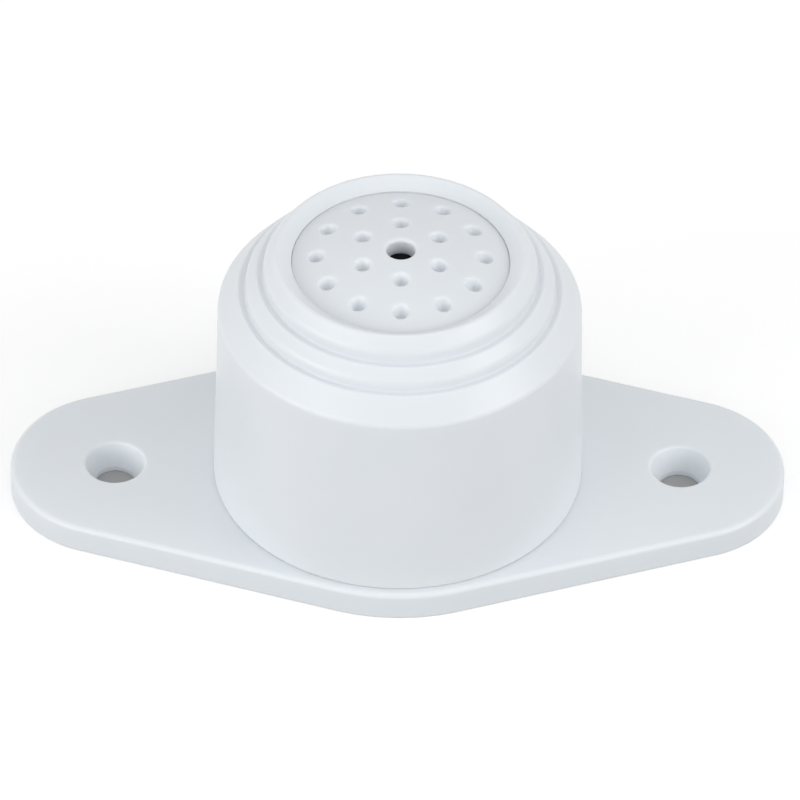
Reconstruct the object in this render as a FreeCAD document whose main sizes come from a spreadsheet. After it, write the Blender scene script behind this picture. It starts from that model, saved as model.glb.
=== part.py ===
"""Surveillance microphone: a stepped round housing on a plate with two screw holes.

The origin is the centre of the plate's underside. X runs along the plate, +Y points to the
back, where the cable leaves the housing, and +Z points up through the sound hole.
All lengths are in millimetres.
"""

import FreeCAD
import Part
import Sketcher
import math
import os
from types import SimpleNamespace

# Every driving dimension: its name in the sheet, its value and what it measures.
SIZES = (
    ("plate_length", 80.0, "plate over its two rounded ends"),
    ("plate_waist", 40.0, "diameter of the plate's round middle"),
    ("plate_thickness", 3.1, "underside to the top of the plate"),
    ("plate_bevel", 0.35, "bevel of the plate's top edge"),
    ("hole_spacing", 58.4, "between the two wall screw holes"),
    ("hole_bore", 4.2, "diameter of a wall screw hole at its narrow end"),
    ("hole_mouth", 6.2, "diameter of a wall screw hole at the plate's top"),
    ("hole_land", 0.6, "height of the hole's straight part"),
    ("spigot_height", 1.4, "ring on the plate that centres the housing"),
    ("spigot_wall", 1.3, "wall of that ring"),
    ("spigot_clearance", 0.12, "between the ring and the housing's wall"),
    ("housing_foot", 38.0, "outer diameter where the housing meets the plate"),
    ("housing_shoulder", 36.94, "outer diameter at the shoulder, after the draft"),
    ("housing_wall", 2.0, "wall of the housing"),
    ("wall_height", 21.4, "plate top to the shoulder's edge"),
    ("foot_bevel", 0.2, "lower edge of the housing, the thin line at its foot"),
    ("shoulder_run", 2.15, "shoulder slope, inwards"),
    ("shoulder_rise", 2.58, "shoulder slope, upwards"),
    ("groove_width", 0.61, "narrow ledge behind each step's edge"),
    ("groove_drop", 0.33, "how far that ledge falls inwards"),
    ("middle_riser", 1.09, "short wall below the middle step"),
    ("middle_run", 1.25, "middle slope, inwards"),
    ("middle_rise", 1.38, "middle slope, upwards"),
    ("crown_riser", 1.25, "short wall below the crown"),
    ("crown_run", 1.21, "crown slope, inwards"),
    ("crown_rise", 1.55, "crown slope, upwards"),
    ("crown_trim", 0.19, "how far the flat on top of the crown lies below the slopes' meeting point"),
    ("bevel_drop", 1.05, "inner bevel from that point down to the cap"),
    ("cap_gap", 0.12, "gap all round the cap"),
    ("cap_seat_depth", 1.95, "from the bevel's lower edge down to the cap's ledge"),
    ("ledge_width", 1.65, "ledge that carries the cap"),
    ("ledge_thickness", 1.5, "thickness of that ledge"),
    ("inner_shoulder_drop", 1.2, "inside, the wall ends this far below the shoulder's edge"),
    ("cap_diameter", 22.06, "outside of the dimpled cap"),
    ("cap_edge_height", 1.77, "ledge to the cap's outer edge"),
    ("dome_radius", 35.0, "radius of the cap's dome"),
    ("cap_underside", 1.0, "ledge to the flat underside of the cap"),
    ("cap_skirt", 1.4, "wall of the cap's skirt"),
    ("cap_bevel", 0.2, "edge of the cap"),
    ("sound_hole", 2.9, "diameter of the hole in the middle"),
    ("sound_hole_depth", 1.85, "length of that hole"),
    ("sound_hole_bevel", 0.15, "edge of that hole"),
    ("dimple_diameter", 1.8, "width of a blind dimple at its mouth"),
    ("dimple_floor", 1.1, "width of a blind dimple at its floor"),
    ("dimple_depth", 0.85, "depth of a blind dimple"),
    ("outer_dimple_circle", 16.96, "diameter of the outer circle of dimples"),
    ("inner_dimple_circle", 8.84, "diameter of the inner circle of dimples"),
    ("outer_dimple_count", 12, "dimples on the outer circle"),
    ("inner_dimple_count", 6, "dimples on the inner circle"),
    ("socket_wall", 1.0, "wall of the tube under the cap that holds the capsule"),
    ("socket_reach", 5.0, "length of that tube"),
    ("capsule_diameter", 9.7, "electret capsule"),
    ("capsule_height", 6.4, "electret capsule without its felt"),
    ("capsule_bevel", 0.3, "edge of the capsule's can"),
    ("felt_diameter", 8.6, "black felt disc on the capsule"),
    ("felt_thickness", 0.4, "black felt disc on the capsule"),
    ("terminal_diameter", 8.5, "terminal disc in the back of the capsule"),
    ("terminal_thickness", 0.5, "terminal disc in the back of the capsule"),
    ("boot_wall", 0.6, "rubber sleeve round the capsule"),
    ("boot_lip", 0.6, "thickness of the sleeve's lower lip"),
    ("boot_opening", 7.4, "opening inside that lip"),
    ("boot_bare", 0.4, "height of capsule that stands above the sleeve"),
    ("slip_clearance", 0.05, "between pieces that slide into each other"),
    ("pin_diameter", 0.6, "capsule pin"),
    ("pin_spacing", 2.54, "between the two capsule pins"),
    ("pin_tail", 1.0, "pin below the circuit board"),
    ("pin_hole", 0.9, "hole in the board for a pin"),
    ("board_thickness", 1.6, "circuit board"),
    ("board_clearance", 0.87, "between the board and the housing's wall"),
    ("board_notch_clearance", 0.4, "between the board and the case bosses"),
    ("board_boss", 4.6, "diameter of a boss that carries the board"),
    ("board_boss_inset", 3.4, "from the board's edge to its screws"),
    ("board_screw_shank", 1.9, "board screw"),
    ("board_screw_length", 4.4, "board screw below its head"),
    ("board_screw_head", 3.8, "board screw's head"),
    ("board_screw_head_height", 1.3, "board screw's head"),
    ("board_screw_hole", 2.3, "hole in the board for a screw"),
    ("case_boss", 5.8, "diameter of a boss that the plate is screwed to"),
    ("case_boss_clearance", 0.1, "between that boss and the plate's ring"),
    ("case_screw_shank", 2.5, "case screw"),
    ("case_screw_length", 10.0, "case screw below its head"),
    ("case_screw_head", 5.0, "case screw's head"),
    ("case_screw_head_height", 1.6, "case screw's head"),
    ("case_screw_hole", 3.0, "hole in the plate for a case screw"),
    ("head_recess_depth", 1.9, "recess in the underside for a case screw's head"),
    ("head_recess_clearance", 0.3, "round a case screw's head"),
    ("pilot_clearance", 0.04, "between a screw and its boss"),
    ("pilot_extra", 1.0, "pilot hole beyond the screw's tip"),
    ("boss_root", 0.3, "how far a boss runs into the roof above it"),
    ("web_thickness", 1.2, "web from a case boss to the wall"),
    ("web_lift", 0.6, "from the plate's ring up to the web"),
    ("outlet_height", 9.4, "cable outlet above the underside"),
    ("outlet_flat_depth", 0.75, "flat round the outlet, in from the foot's radius"),
    ("outlet_flat", 8.8, "diameter of that flat"),
    ("outlet_wall", 2.0, "wall between the outlet's two flats"),
    ("outlet_hole", 6.2, "hole for the grommet"),
    ("grommet_bore", 4.2, "cable hole in the grommet"),
    ("grommet_clearance", 0.05, "between the grommet and its hole"),
    ("grommet_flange", 8.2, "outer flange of the grommet"),
    ("grommet_flange_thickness", 1.1, "outer flange of the grommet"),
    ("grommet_tail", 7.8, "inner flange of the grommet"),
    ("grommet_tail_thickness", 1.0, "inner flange of the grommet"),
    ("grommet_bevel", 0.35, "edge of each flange of the grommet"),
    ("amplifier_length", 4.9, "amplifier chip along X"),
    ("amplifier_width", 3.9, "amplifier chip along Y"),
    ("amplifier_height", 1.45, "amplifier chip"),
    ("amplifier_across", 6.0, "amplifier chip over its leads"),
    ("amplifier_left", 5.2, "amplifier chip, left of the middle"),
    ("amplifier_front", 4.6, "amplifier chip, in front of the middle"),
    ("lead_pitch", 1.27, "between leads of the amplifier chip"),
    ("lead_count", 4, "leads on each side of the amplifier chip"),
    ("lead_width", 0.42, "width of a lead"),
    ("lead_thickness", 0.2, "thickness of a lead"),
    ("lead_foot", 0.6, "flat foot of a lead"),
    ("chip_standoff", 0.1, "between a chip and the board"),
    ("regulator_length", 4.5, "supply regulator along X"),
    ("regulator_width", 2.5, "supply regulator along Y"),
    ("regulator_height", 1.5, "supply regulator"),
    ("regulator_across", 4.2, "supply regulator over its leads"),
    ("regulator_right", 6.6, "supply regulator, right of the middle"),
    ("regulator_front", 5.2, "supply regulator, in front of the middle"),
    ("regulator_lead_pitch", 1.5, "between its leads"),
    ("regulator_lead_count", 3, "leads of the supply regulator"),
    ("diode_length", 4.3, "protection diode along Y"),
    ("diode_width", 2.6, "protection diode along X"),
    ("diode_height", 2.1, "protection diode"),
    ("diode_across", 5.8, "protection diode over its leads"),
    ("diode_lead_width", 1.4, "lead of the protection diode"),
    ("diode_right", 0.6, "protection diode, right of the middle"),
    ("diode_front", 4.6, "protection diode, in front of the middle"),
    ("capacitor_diameter", 5.0, "can of an electrolytic capacitor"),
    ("capacitor_height", 5.4, "electrolytic capacitor with its base"),
    ("capacitor_base", 5.3, "square base of the capacitor"),
    ("capacitor_base_height", 0.9, "base of the capacitor"),
    ("capacitor_corner", 1.2, "cut corner of the base"),
    ("capacitor_side", 7.4, "each capacitor, beside the middle"),
    ("capacitor_back", 6.4, "each capacitor, behind the middle"),
    ("small_chip_length", 2.0, "small chip part along Y"),
    ("small_chip_width", 1.25, "small chip part along X"),
    ("small_chip_pitch", 2.2, "between small chip parts in a row"),
    ("resistor_height", 0.5, "chip resistor"),
    ("resistor_front", 9.0, "row of chip resistors, in front of the middle"),
    ("resistor_count", 5, "chip resistors"),
    ("ceramic_height", 0.9, "chip capacitor"),
    ("ceramic_back", 3.2, "row of chip capacitors, behind the middle"),
    ("ceramic_count", 4, "chip capacitors"),
    ("header_length", 7.9, "wire header along X"),
    ("header_width", 4.5, "wire header along Y"),
    ("header_height", 6.0, "wire header"),
    ("header_wall", 0.6, "wall of the wire header"),
    ("header_floor", 1.2, "floor of the wire header"),
    ("header_back", 7.6, "wire header, behind the middle"),
    ("header_pin", 0.5, "square pin of the wire header"),
    ("header_pitch", 2.0, "between pins of the wire header"),
    ("header_pin_count", 3, "pins of the wire header"),
    ("header_pin_length", 4.8, "pin below the board"),
    ("header_pin_hole", 0.85, "hole in the board for a header pin"),
)

# Shape of every pan-head screw: flat top and cross as shares of the head's radius, the upright
# side and the cross's depth as shares of its height.
HEAD_FLAT = 0.7
HEAD_SIDE = 0.45
CROSS_REACH = 0.5
CROSS_HALF_WIDTH = 0.13
CROSS_DEPTH = 0.6

# Two heights nearer than this are the same.
TOUCH = 1e-4

Vector = FreeCAD.Vector
UP = Vector(0, 0, 1)
doc = FreeCAD.newDocument("microphone")
sheet = doc.addObject("Spreadsheet::Sheet", "sizes")


class Size:
    """A length: its number now, and the sheet expression that it comes from."""

    def __init__(self, text, value):
        self.text = text
        self.value = value

    def __add__(self, other):
        other = as_size(other)
        return Size(f"({self.text} + {other.text})", self.value + other.value)

    def __sub__(self, other):
        other = as_size(other)
        return Size(f"({self.text} - {other.text})", self.value - other.value)

    def __mul__(self, other):
        other = as_size(other)
        return Size(f"({self.text} * {other.text})", self.value * other.value)

    def __truediv__(self, other):
        other = as_size(other)
        return Size(f"({self.text} / {other.text})", self.value / other.value)

    def __neg__(self):
        return Size(f"(-1 * {self.text})", -self.value)


def as_size(number):
    """Take a plain number as a Size, and leave a Size as it is."""
    if isinstance(number, Size):
        return number
    return Size(str(number), float(number))


def square_root(size):
    """Square root of a Size."""
    return Size(f"sqrt({size.text})", math.sqrt(size.value))


def fill_sheet():
    """Write the driving dimensions into the sheet and return them by name."""
    for row, (name, number, meaning) in enumerate(SIZES, start=1):
        sheet.set(f"A{row}", name)
        sheet.set(f"B{row}", str(number))
        sheet.setAlias(f"B{row}", name)
        sheet.set(f"C{row}", meaning)
    doc.recompute()
    by_name = {name: Size(f"sizes.{name}", float(sheet.get(name))) for name, _, _ in SIZES}
    return SimpleNamespace(**by_name)


ZERO = Size("0", 0.0)
s = fill_sheet()

# Heights above the plate's underside.
plate_top = s.plate_thickness
shoulder_z = plate_top + s.wall_height
middle_edge_z = shoulder_z + s.shoulder_rise
middle_groove_z = middle_edge_z - s.groove_drop
middle_riser_z = middle_groove_z + s.middle_riser
crown_edge_z = middle_riser_z + s.middle_rise
crown_groove_z = crown_edge_z - s.groove_drop
crown_riser_z = crown_groove_z + s.crown_riser
crown_z = crown_riser_z + s.crown_rise
crown_flat_z = crown_z - s.crown_trim
bevel_z = crown_z - s.bevel_drop
cap_seat_z = bevel_z - s.cap_seat_depth
roof_z = cap_seat_z - s.ledge_thickness
inner_shoulder_z = shoulder_z - s.inner_shoulder_drop

# Radii round the vertical axis.
foot_r = s.housing_foot / 2
shoulder_r = s.housing_shoulder / 2
middle_edge_r = shoulder_r - s.shoulder_run
middle_riser_r = middle_edge_r - s.groove_width
crown_edge_r = middle_riser_r - s.middle_run
crown_riser_r = crown_edge_r - s.groove_width
crown_r = crown_riser_r - s.crown_run
cap_r = s.cap_diameter / 2
cap_bore_r = cap_r + s.cap_gap
ledge_r = cap_bore_r - s.ledge_width
inner_foot_r = foot_r - s.housing_wall
inner_shoulder_r = shoulder_r - s.housing_wall
roof_r = inner_shoulder_r - (roof_z - inner_shoulder_z) * s.shoulder_run / s.shoulder_rise
spigot_r = inner_foot_r - s.spigot_clearance
case_boss_place = spigot_r - s.spigot_wall - s.case_boss_clearance - s.case_boss / 2

# The dome, whose centre lies on the axis, and the stack that hangs below it.
dome_fall = s.dome_radius - square_root(s.dome_radius * s.dome_radius - cap_r * cap_r)
cap_apex = s.cap_edge_height + dome_fall
capsule_seat = cap_apex - s.sound_hole_depth
can_top_z = cap_seat_z + capsule_seat - s.felt_thickness
can_bottom_z = can_top_z - s.capsule_height
board_top_z = can_bottom_z - s.boot_lip
board_z = board_top_z - s.board_thickness
capsule_r = s.capsule_diameter / 2
boot_bore_r = capsule_r + s.slip_clearance
boot_r = boot_bore_r + s.boot_wall
socket_bore_r = boot_r + s.slip_clearance
board_r = inner_shoulder_r - s.board_clearance
board_screw_place = board_r - s.board_boss_inset

# The cable outlet in the back wall.
outlet_face = foot_r - s.outlet_flat_depth
outlet_inner_face = outlet_face - s.outlet_wall


def origin_item(body, role):
    """Return an axis or a plane of the body's own origin."""
    return next(item for item in body.Origin.OriginFeatures if item.Role == role)


def new_body(label, height=ZERO):
    """Start a sub-part whose own origin lies at a height above the underside."""
    body = doc.addObject("PartDesign::Body", label)
    body.Label = label
    body.setExpression("Placement.Base.z", height.text)
    return body


def new_sketch(body, plane="XY_Plane", offset=ZERO):
    """Lay a sketch on one of the body's origin planes, moved along the plane's normal."""
    sketch = body.newObject("Sketcher::SketchObject", f"{body.Label}_sketch")
    sketch.AttachmentSupport = [(origin_item(body, plane), "")]
    sketch.MapMode = "FlatFace"
    sketch.setExpression("AttachmentOffset.Base.z", offset.text)
    return sketch


def bind_constraint(sketch, size, *arguments):
    """Add a dimension whose value comes from the sheet."""
    index = sketch.addConstraint(Sketcher.Constraint(*arguments, size.value))
    sketch.setExpression(f"Constraints[{index}]", size.text)


def pin_point(sketch, element, point, across, up):
    """Hold a point of a sketch at a place that the sheet gives."""
    for kind, axis, place in (("DistanceX", -2, across), ("DistanceY", -1, up)):
        if place is ZERO:
            sketch.addConstraint(Sketcher.Constraint("PointOnObject", element, point, axis))
        else:
            bind_constraint(sketch, place, kind, -1, 1, element, point)


def draw_circle(sketch, across, up, radius):
    """Draw a circle that is bound to the sheet."""
    circle = Part.Circle(Vector(across.value, up.value, 0), UP, radius.value)
    element = sketch.addGeometry(circle, False)
    bind_constraint(sketch, radius, "Radius", element)
    pin_point(sketch, element, 3, across, up)


def join_ends(sketch, element, point, other, other_point):
    """Hold two ends of a sketch's lines or arcs together."""
    sketch.addConstraint(Sketcher.Constraint("Coincident", element, point, other, other_point))


def draw_lines(sketch, corners):
    """Draw a chain of lines with a held corner at the start of each, and return their numbers."""
    lines = []
    for here, ahead in zip(corners, corners[1:]):
        start = Vector(here[0].value, here[1].value, 0)
        finish = Vector(ahead[0].value, ahead[1].value, 0)
        lines.append(sketch.addGeometry(Part.LineSegment(start, finish), False))
        pin_point(sketch, lines[-1], 1, *here)
        if len(lines) > 1:
            join_ends(sketch, lines[-2], 2, lines[-1], 1)
    return lines


def draw_outline(sketch, corners):
    """Draw a closed outline of straight lines through the corners."""
    lines = draw_lines(sketch, corners + corners[:1])
    join_ends(sketch, lines[-1], 2, lines[0], 1)


def draw_rectangle(sketch, left, low, right, high):
    """Draw a rectangle that is bound to the sheet."""
    draw_outline(sketch, [(left, low), (right, low), (right, high), (left, high)])


def draw_axis(sketch, across):
    """Draw a construction line parallel to the sketch's upright axis, to turn a profile about."""
    line = Part.LineSegment(Vector(across.value, 0, 0), Vector(across.value, 1, 0))
    element = sketch.addGeometry(line, True)
    sketch.addConstraint(Sketcher.Constraint("Vertical", element))
    pin_point(sketch, element, 1, across, ZERO)
    sketch.addConstraint(Sketcher.Constraint("DistanceY", element, 1, element, 2, 1.0))


def grow(body, kind, sketch, length, away=False):
    """Pad or pocket a sketch by a length. With away, it runs against its usual direction."""
    feature = body.newObject(f"PartDesign::{kind}", f"{body.Label}_{kind.lower()}")
    feature.Profile = sketch
    feature.setExpression("Length", length.text)
    feature.Reversed = away
    return feature


def turn(body, kind, sketch, axis="V_Axis"):
    """Revolve or groove a profile all the way round an axis of its sketch."""
    feature = body.newObject(f"PartDesign::{kind}", f"{body.Label}_{kind.lower()}")
    feature.Profile = sketch
    feature.ReferenceAxis = (sketch, [axis])
    feature.Angle = 360
    return feature


def repeat_round(body, originals, count):
    """Repeat features at even angles round the body's upright axis."""
    doc.recompute()
    pattern = body.newObject("PartDesign::PolarPattern", f"{body.Label}_circle")
    pattern.Originals = originals
    pattern.Axis = (origin_item(body, "Z_Axis"), [""])
    pattern.Angle = 360
    pattern.setExpression("Occurrences", as_size(count).text)
    body.Tip = pattern


def repeat_along(body, originals, pitch, count):
    """Repeat features in a row along X."""
    doc.recompute()
    pattern = body.newObject("PartDesign::LinearPattern", f"{body.Label}_row")
    pattern.Originals = originals
    pattern.Direction = (origin_item(body, "X_Axis"), [""])
    pattern.setExpression("Length", (pitch * (count - 1)).text)
    pattern.setExpression("Occurrences", count.text)
    body.Tip = pattern


def bevel_edges(body, height, size):
    """Bevel each edge of the body, as it is so far, that lies wholly at a height."""
    doc.recompute()
    base = body.Tip
    names = []
    for number, edge in enumerate(base.Shape.Edges, start=1):
        box = edge.BoundBox
        if abs(box.ZMin - height.value) < TOUCH and abs(box.ZMax - height.value) < TOUCH:
            names.append(f"Edge{number}")
    bevel = body.newObject("PartDesign::Chamfer", f"{body.Label}_bevel")
    bevel.Base = (base, names)
    bevel.setExpression("Size", size.text)
    body.Tip = bevel


def draw_plate_outline(sketch):
    """Draw four arcs and the four straight edges that run between them without a corner."""
    end_r = (s.plate_length - s.hole_spacing) / 2
    waist_r = s.plate_waist / 2
    end_place = s.hole_spacing / 2
    lean = math.acos((waist_r.value - end_r.value) / end_place.value)
    right = Vector(end_place.value, 0, 0)
    arcs = (
        (right, end_r, -lean, lean),
        (Vector(0, 0, 0), waist_r, lean, math.pi - lean),
        (-right, end_r, math.pi - lean, math.pi + lean),
        (Vector(0, 0, 0), waist_r, math.pi + lean, 2 * math.pi - lean),
    )
    elements = []
    for centre, radius, from_angle, to_angle in arcs:
        arc = Part.ArcOfCircle(Part.Circle(centre, UP, radius.value), from_angle, to_angle)
        elements.append(sketch.addGeometry(arc, False))
        bind_constraint(sketch, radius, "Radius", elements[-1])
    pin_point(sketch, elements[0], 3, end_place, ZERO)
    pin_point(sketch, elements[1], 3, ZERO, ZERO)
    pin_point(sketch, elements[2], 3, -end_place, ZERO)
    pin_point(sketch, elements[3], 3, ZERO, ZERO)
    for index, element in enumerate(elements):
        following = elements[(index + 1) % 4]
        finish = sketch.getPoint(element, 2)
        start = sketch.getPoint(following, 1)
        line = sketch.addGeometry(Part.LineSegment(finish, start), False)
        sketch.addConstraint(Sketcher.Constraint("Tangent", element, 2, line, 1))
        sketch.addConstraint(Sketcher.Constraint("Tangent", line, 2, following, 1))


def make_base_plate():
    """Mounting plate with its ring, two wall screw holes and two recesses for case screws."""
    body = new_body("base_plate")
    outline = new_sketch(body)
    draw_plate_outline(outline)
    grow(body, "Pad", outline, s.plate_thickness)
    bevel_edges(body, plate_top, s.plate_bevel)

    ring = new_sketch(body, offset=plate_top)
    draw_circle(ring, ZERO, ZERO, spigot_r)
    draw_circle(ring, ZERO, ZERO, spigot_r - s.spigot_wall)
    grow(body, "Pad", ring, s.spigot_height)

    place = s.hole_spacing / 2
    hole = new_sketch(body, "XZ_Plane")
    draw_axis(hole, place)
    draw_outline(hole, [
        (place, ZERO),
        (place + s.hole_bore / 2, ZERO),
        (place + s.hole_bore / 2, s.hole_land),
        (place + s.hole_mouth / 2, plate_top),
        (place, plate_top),
    ])
    wall_hole = turn(body, "Groove", hole, "Axis0")
    repeat_round(body, [wall_hole], 2)

    passage = new_sketch(body)
    draw_circle(passage, case_boss_place, ZERO, s.case_screw_hole / 2)
    screw_hole = grow(body, "Pocket", passage, plate_top, away=True)
    recess = new_sketch(body)
    draw_circle(recess, case_boss_place, ZERO, s.case_screw_head / 2 + s.head_recess_clearance)
    head_recess = grow(body, "Pocket", recess, s.head_recess_depth, away=True)
    repeat_round(body, [screw_hole, head_recess], 2)
    return body


def make_body_shell():
    """Housing in three steps, with bosses inside and a flat for the cable outlet at the back."""
    body = new_body("body_shell", plate_top)
    profile = new_sketch(body, "XZ_Plane")
    draw_outline(profile, [
        (inner_foot_r, ZERO),
        (foot_r - s.foot_bevel, ZERO),
        (foot_r, s.foot_bevel),
        (shoulder_r, s.wall_height),
        (middle_edge_r, middle_edge_z - plate_top),
        (middle_riser_r, middle_groove_z - plate_top),
        (middle_riser_r, middle_riser_z - plate_top),
        (crown_edge_r, crown_edge_z - plate_top),
        (crown_riser_r, crown_groove_z - plate_top),
        (crown_riser_r, crown_riser_z - plate_top),
        (crown_r + s.crown_trim * s.crown_run / s.crown_rise, crown_flat_z - plate_top),
        (crown_r - s.crown_trim * (crown_r - cap_bore_r) / s.bevel_drop, crown_flat_z - plate_top),
        (cap_bore_r, bevel_z - plate_top),
        (cap_bore_r, cap_seat_z - plate_top),
        (ledge_r, cap_seat_z - plate_top),
        (ledge_r, roof_z - plate_top),
        (roof_r, roof_z - plate_top),
        (inner_shoulder_r, inner_shoulder_z - plate_top),
    ])
    turn(body, "Revolution", profile)

    case_boss = new_sketch(body)
    draw_circle(case_boss, case_boss_place, ZERO, s.case_boss / 2)
    post = grow(body, "Pad", case_boss, roof_z - plate_top + s.boss_root)
    web_foot = s.spigot_height + s.web_lift
    web = new_sketch(body, offset=web_foot)
    half_web = s.web_thickness / 2
    draw_rectangle(web, case_boss_place, -half_web, inner_shoulder_r + s.housing_wall / 2, half_web)
    rib = grow(body, "Pad", web, s.wall_height - s.inner_shoulder_drop - web_foot)
    pilot = new_sketch(body)
    draw_circle(pilot, case_boss_place, ZERO, s.case_screw_shank / 2 + s.pilot_clearance)
    reach = s.case_screw_length + s.head_recess_depth - plate_top + s.pilot_extra
    pilot_hole = grow(body, "Pocket", pilot, reach, away=True)
    repeat_round(body, [post, rib, pilot_hole], 2)

    board_boss_foot = board_top_z - plate_top
    board_boss = new_sketch(body, offset=board_boss_foot)
    draw_circle(board_boss, ZERO, board_screw_place, s.board_boss / 2)
    pillar = grow(body, "Pad", board_boss, roof_z - board_top_z + s.boss_root)
    board_pilot = new_sketch(body, offset=board_boss_foot)
    draw_circle(board_pilot, ZERO, board_screw_place, s.board_screw_shank / 2 + s.pilot_clearance)
    depth = s.board_screw_length - s.board_thickness + s.pilot_extra / 2
    board_pilot_hole = grow(body, "Pocket", board_pilot, depth, away=True)
    repeat_round(body, [pillar, board_pilot_hole], 2)

    height = s.outlet_height - plate_top
    inner_flat = new_sketch(body, "XZ_Plane", -outlet_inner_face)
    draw_circle(inner_flat, ZERO, height, s.outlet_flat / 2)
    grow(body, "Pad", inner_flat, s.outlet_wall / 2, away=True)
    outer_flat = new_sketch(body, "XZ_Plane", -outlet_face)
    draw_circle(outer_flat, ZERO, height, s.outlet_flat / 2)
    grow(body, "Pocket", outer_flat, s.outlet_wall)
    outlet = new_sketch(body, "XZ_Plane", -(outlet_inner_face - s.outlet_wall / 4))
    draw_circle(outlet, ZERO, height, s.outlet_hole / 2)
    grow(body, "Pocket", outlet, s.outlet_wall * 2)
    return body


def dome_height(across):
    """Height of the dome above the cap's ledge, at a distance from the axis."""
    return cap_apex - s.dome_radius + square_root(s.dome_radius * s.dome_radius - across * across)


def draw_cap_profile(sketch):
    """Draw half the cap's section: skirt, socket for the capsule and sound hole, under one arc."""
    hole_r = s.sound_hole / 2
    skirt_r = cap_r - s.cap_skirt
    socket_r = socket_bore_r + s.socket_wall
    socket_foot = capsule_seat - s.socket_reach
    lip_r = hole_r + s.sound_hole_bevel
    rim_r = cap_r - s.cap_bevel
    corners = [
        (lip_r, dome_height(lip_r)),
        (hole_r, dome_height(lip_r) - s.sound_hole_bevel),
        (hole_r, capsule_seat),
        (socket_bore_r, capsule_seat),
        (socket_bore_r, socket_foot),
        (socket_r, socket_foot),
        (socket_r, s.cap_underside),
        (skirt_r, s.cap_underside),
        (skirt_r, ZERO),
        (cap_r, ZERO),
        (cap_r, dome_height(rim_r) - s.cap_bevel),
        (rim_r, dome_height(rim_r)),
    ]
    lines = draw_lines(sketch, corners)
    pin_point(sketch, lines[-1], 2, *corners[-1])
    centre = Vector(0, cap_apex.value - s.dome_radius.value, 0)
    rim_angle = math.acos(rim_r.value / s.dome_radius.value)
    lip_angle = math.acos(lip_r.value / s.dome_radius.value)
    circle = Part.Circle(centre, UP, s.dome_radius.value)
    dome = sketch.addGeometry(Part.ArcOfCircle(circle, rim_angle, lip_angle), False)
    join_ends(sketch, lines[-1], 2, dome, 1)
    join_ends(sketch, dome, 2, lines[0], 1)
    bind_constraint(sketch, s.dome_radius, "Radius", dome)


def make_dimples(body, circle, count):
    """Press one round, tapered dimple into the dome at the back and repeat it round the cap."""
    place = circle / 2
    mouth_r = s.dimple_diameter / 2
    floor_r = s.dimple_floor / 2
    surface = dome_height(place)
    profile = new_sketch(body, "YZ_Plane")
    draw_axis(profile, place)
    draw_outline(profile, [
        (place, surface - s.dimple_depth),
        (place + floor_r, surface - s.dimple_depth),
        (place + mouth_r + (mouth_r - floor_r), surface + s.dimple_depth),
        (place, surface + s.dimple_depth),
    ])
    dimple = turn(body, "Groove", profile, "Axis0")
    repeat_round(body, [dimple], count)


def make_dimpled_cap():
    """Domed cap with blind dimples on two circles and one open sound hole in the middle."""
    body = new_body("dimpled_cap", cap_seat_z)
    profile = new_sketch(body, "XZ_Plane")
    draw_cap_profile(profile)
    turn(body, "Revolution", profile)
    make_dimples(body, s.outer_dimple_circle, s.outer_dimple_count)
    make_dimples(body, s.inner_dimple_circle, s.inner_dimple_count)
    return body


def make_screws(label, height, place, role, head_r, head_height, shank_r, length):
    """Two pan-head screws that point up, each with a cross recess in its head."""
    body = new_body(label, height)
    plane = "XZ_Plane" if role == "X_Axis" else "YZ_Plane"
    profile = new_sketch(body, plane)
    draw_axis(profile, place)
    draw_outline(profile, [
        (place, -head_height),
        (place + head_r * HEAD_FLAT, -head_height),
        (place + head_r, -head_height * HEAD_SIDE),
        (place + head_r, ZERO),
        (place + shank_r, ZERO),
        (place + shank_r, length),
        (place, length),
    ])
    blank = turn(body, "Revolution", profile, "Axis0")
    arm = head_r * CROSS_REACH
    half = head_r * CROSS_HALF_WIDTH
    cross = new_sketch(body, offset=-head_height)
    corners = [
        (arm, -half), (arm, half), (half, half), (half, arm), (-half, arm), (-half, half),
        (-arm, half), (-arm, -half), (-half, -half), (-half, -arm), (half, -arm), (half, -half),
    ]
    if role == "X_Axis":
        corners = [(place + across, up) for across, up in corners]
    else:
        corners = [(across, place + up) for across, up in corners]
    draw_outline(cross, corners)
    recess = grow(body, "Pocket", cross, head_height * CROSS_DEPTH, away=True)
    repeat_round(body, [blank, recess], 2)
    return body


def make_circuit_board():
    """Round board with notches for the case bosses and holes for screws and pins."""
    body = new_body("circuit_board", board_z)
    outline = new_sketch(body)
    draw_circle(outline, ZERO, ZERO, board_r)
    grow(body, "Pad", outline, s.board_thickness)
    notch_r = s.case_boss / 2 + s.board_notch_clearance
    notch = new_sketch(body)
    draw_outline(notch, [
        (case_boss_place - notch_r, -notch_r),
        (board_r + s.board_clearance, -notch_r),
        (board_r + s.board_clearance, notch_r),
        (case_boss_place - notch_r, notch_r),
    ])
    cut = grow(body, "Pocket", notch, s.board_thickness, away=True)
    repeat_round(body, [cut], 2)
    screw = new_sketch(body)
    draw_circle(screw, ZERO, board_screw_place, s.board_screw_hole / 2)
    draw_circle(screw, ZERO, -board_screw_place, s.board_screw_hole / 2)
    grow(body, "Pocket", screw, s.board_thickness, away=True)
    pins = new_sketch(body)
    draw_circle(pins, s.pin_spacing / 2, ZERO, s.pin_hole / 2)
    draw_circle(pins, -s.pin_spacing / 2, ZERO, s.pin_hole / 2)
    grow(body, "Pocket", pins, s.board_thickness, away=True)
    header = new_sketch(body)
    first = -s.header_pitch * (s.header_pin_count - 1) / 2
    draw_circle(header, first, s.header_back, s.header_pin_hole / 2)
    hole = grow(body, "Pocket", header, s.board_thickness, away=True)
    repeat_along(body, [hole], s.header_pitch, s.header_pin_count)
    return body


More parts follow.
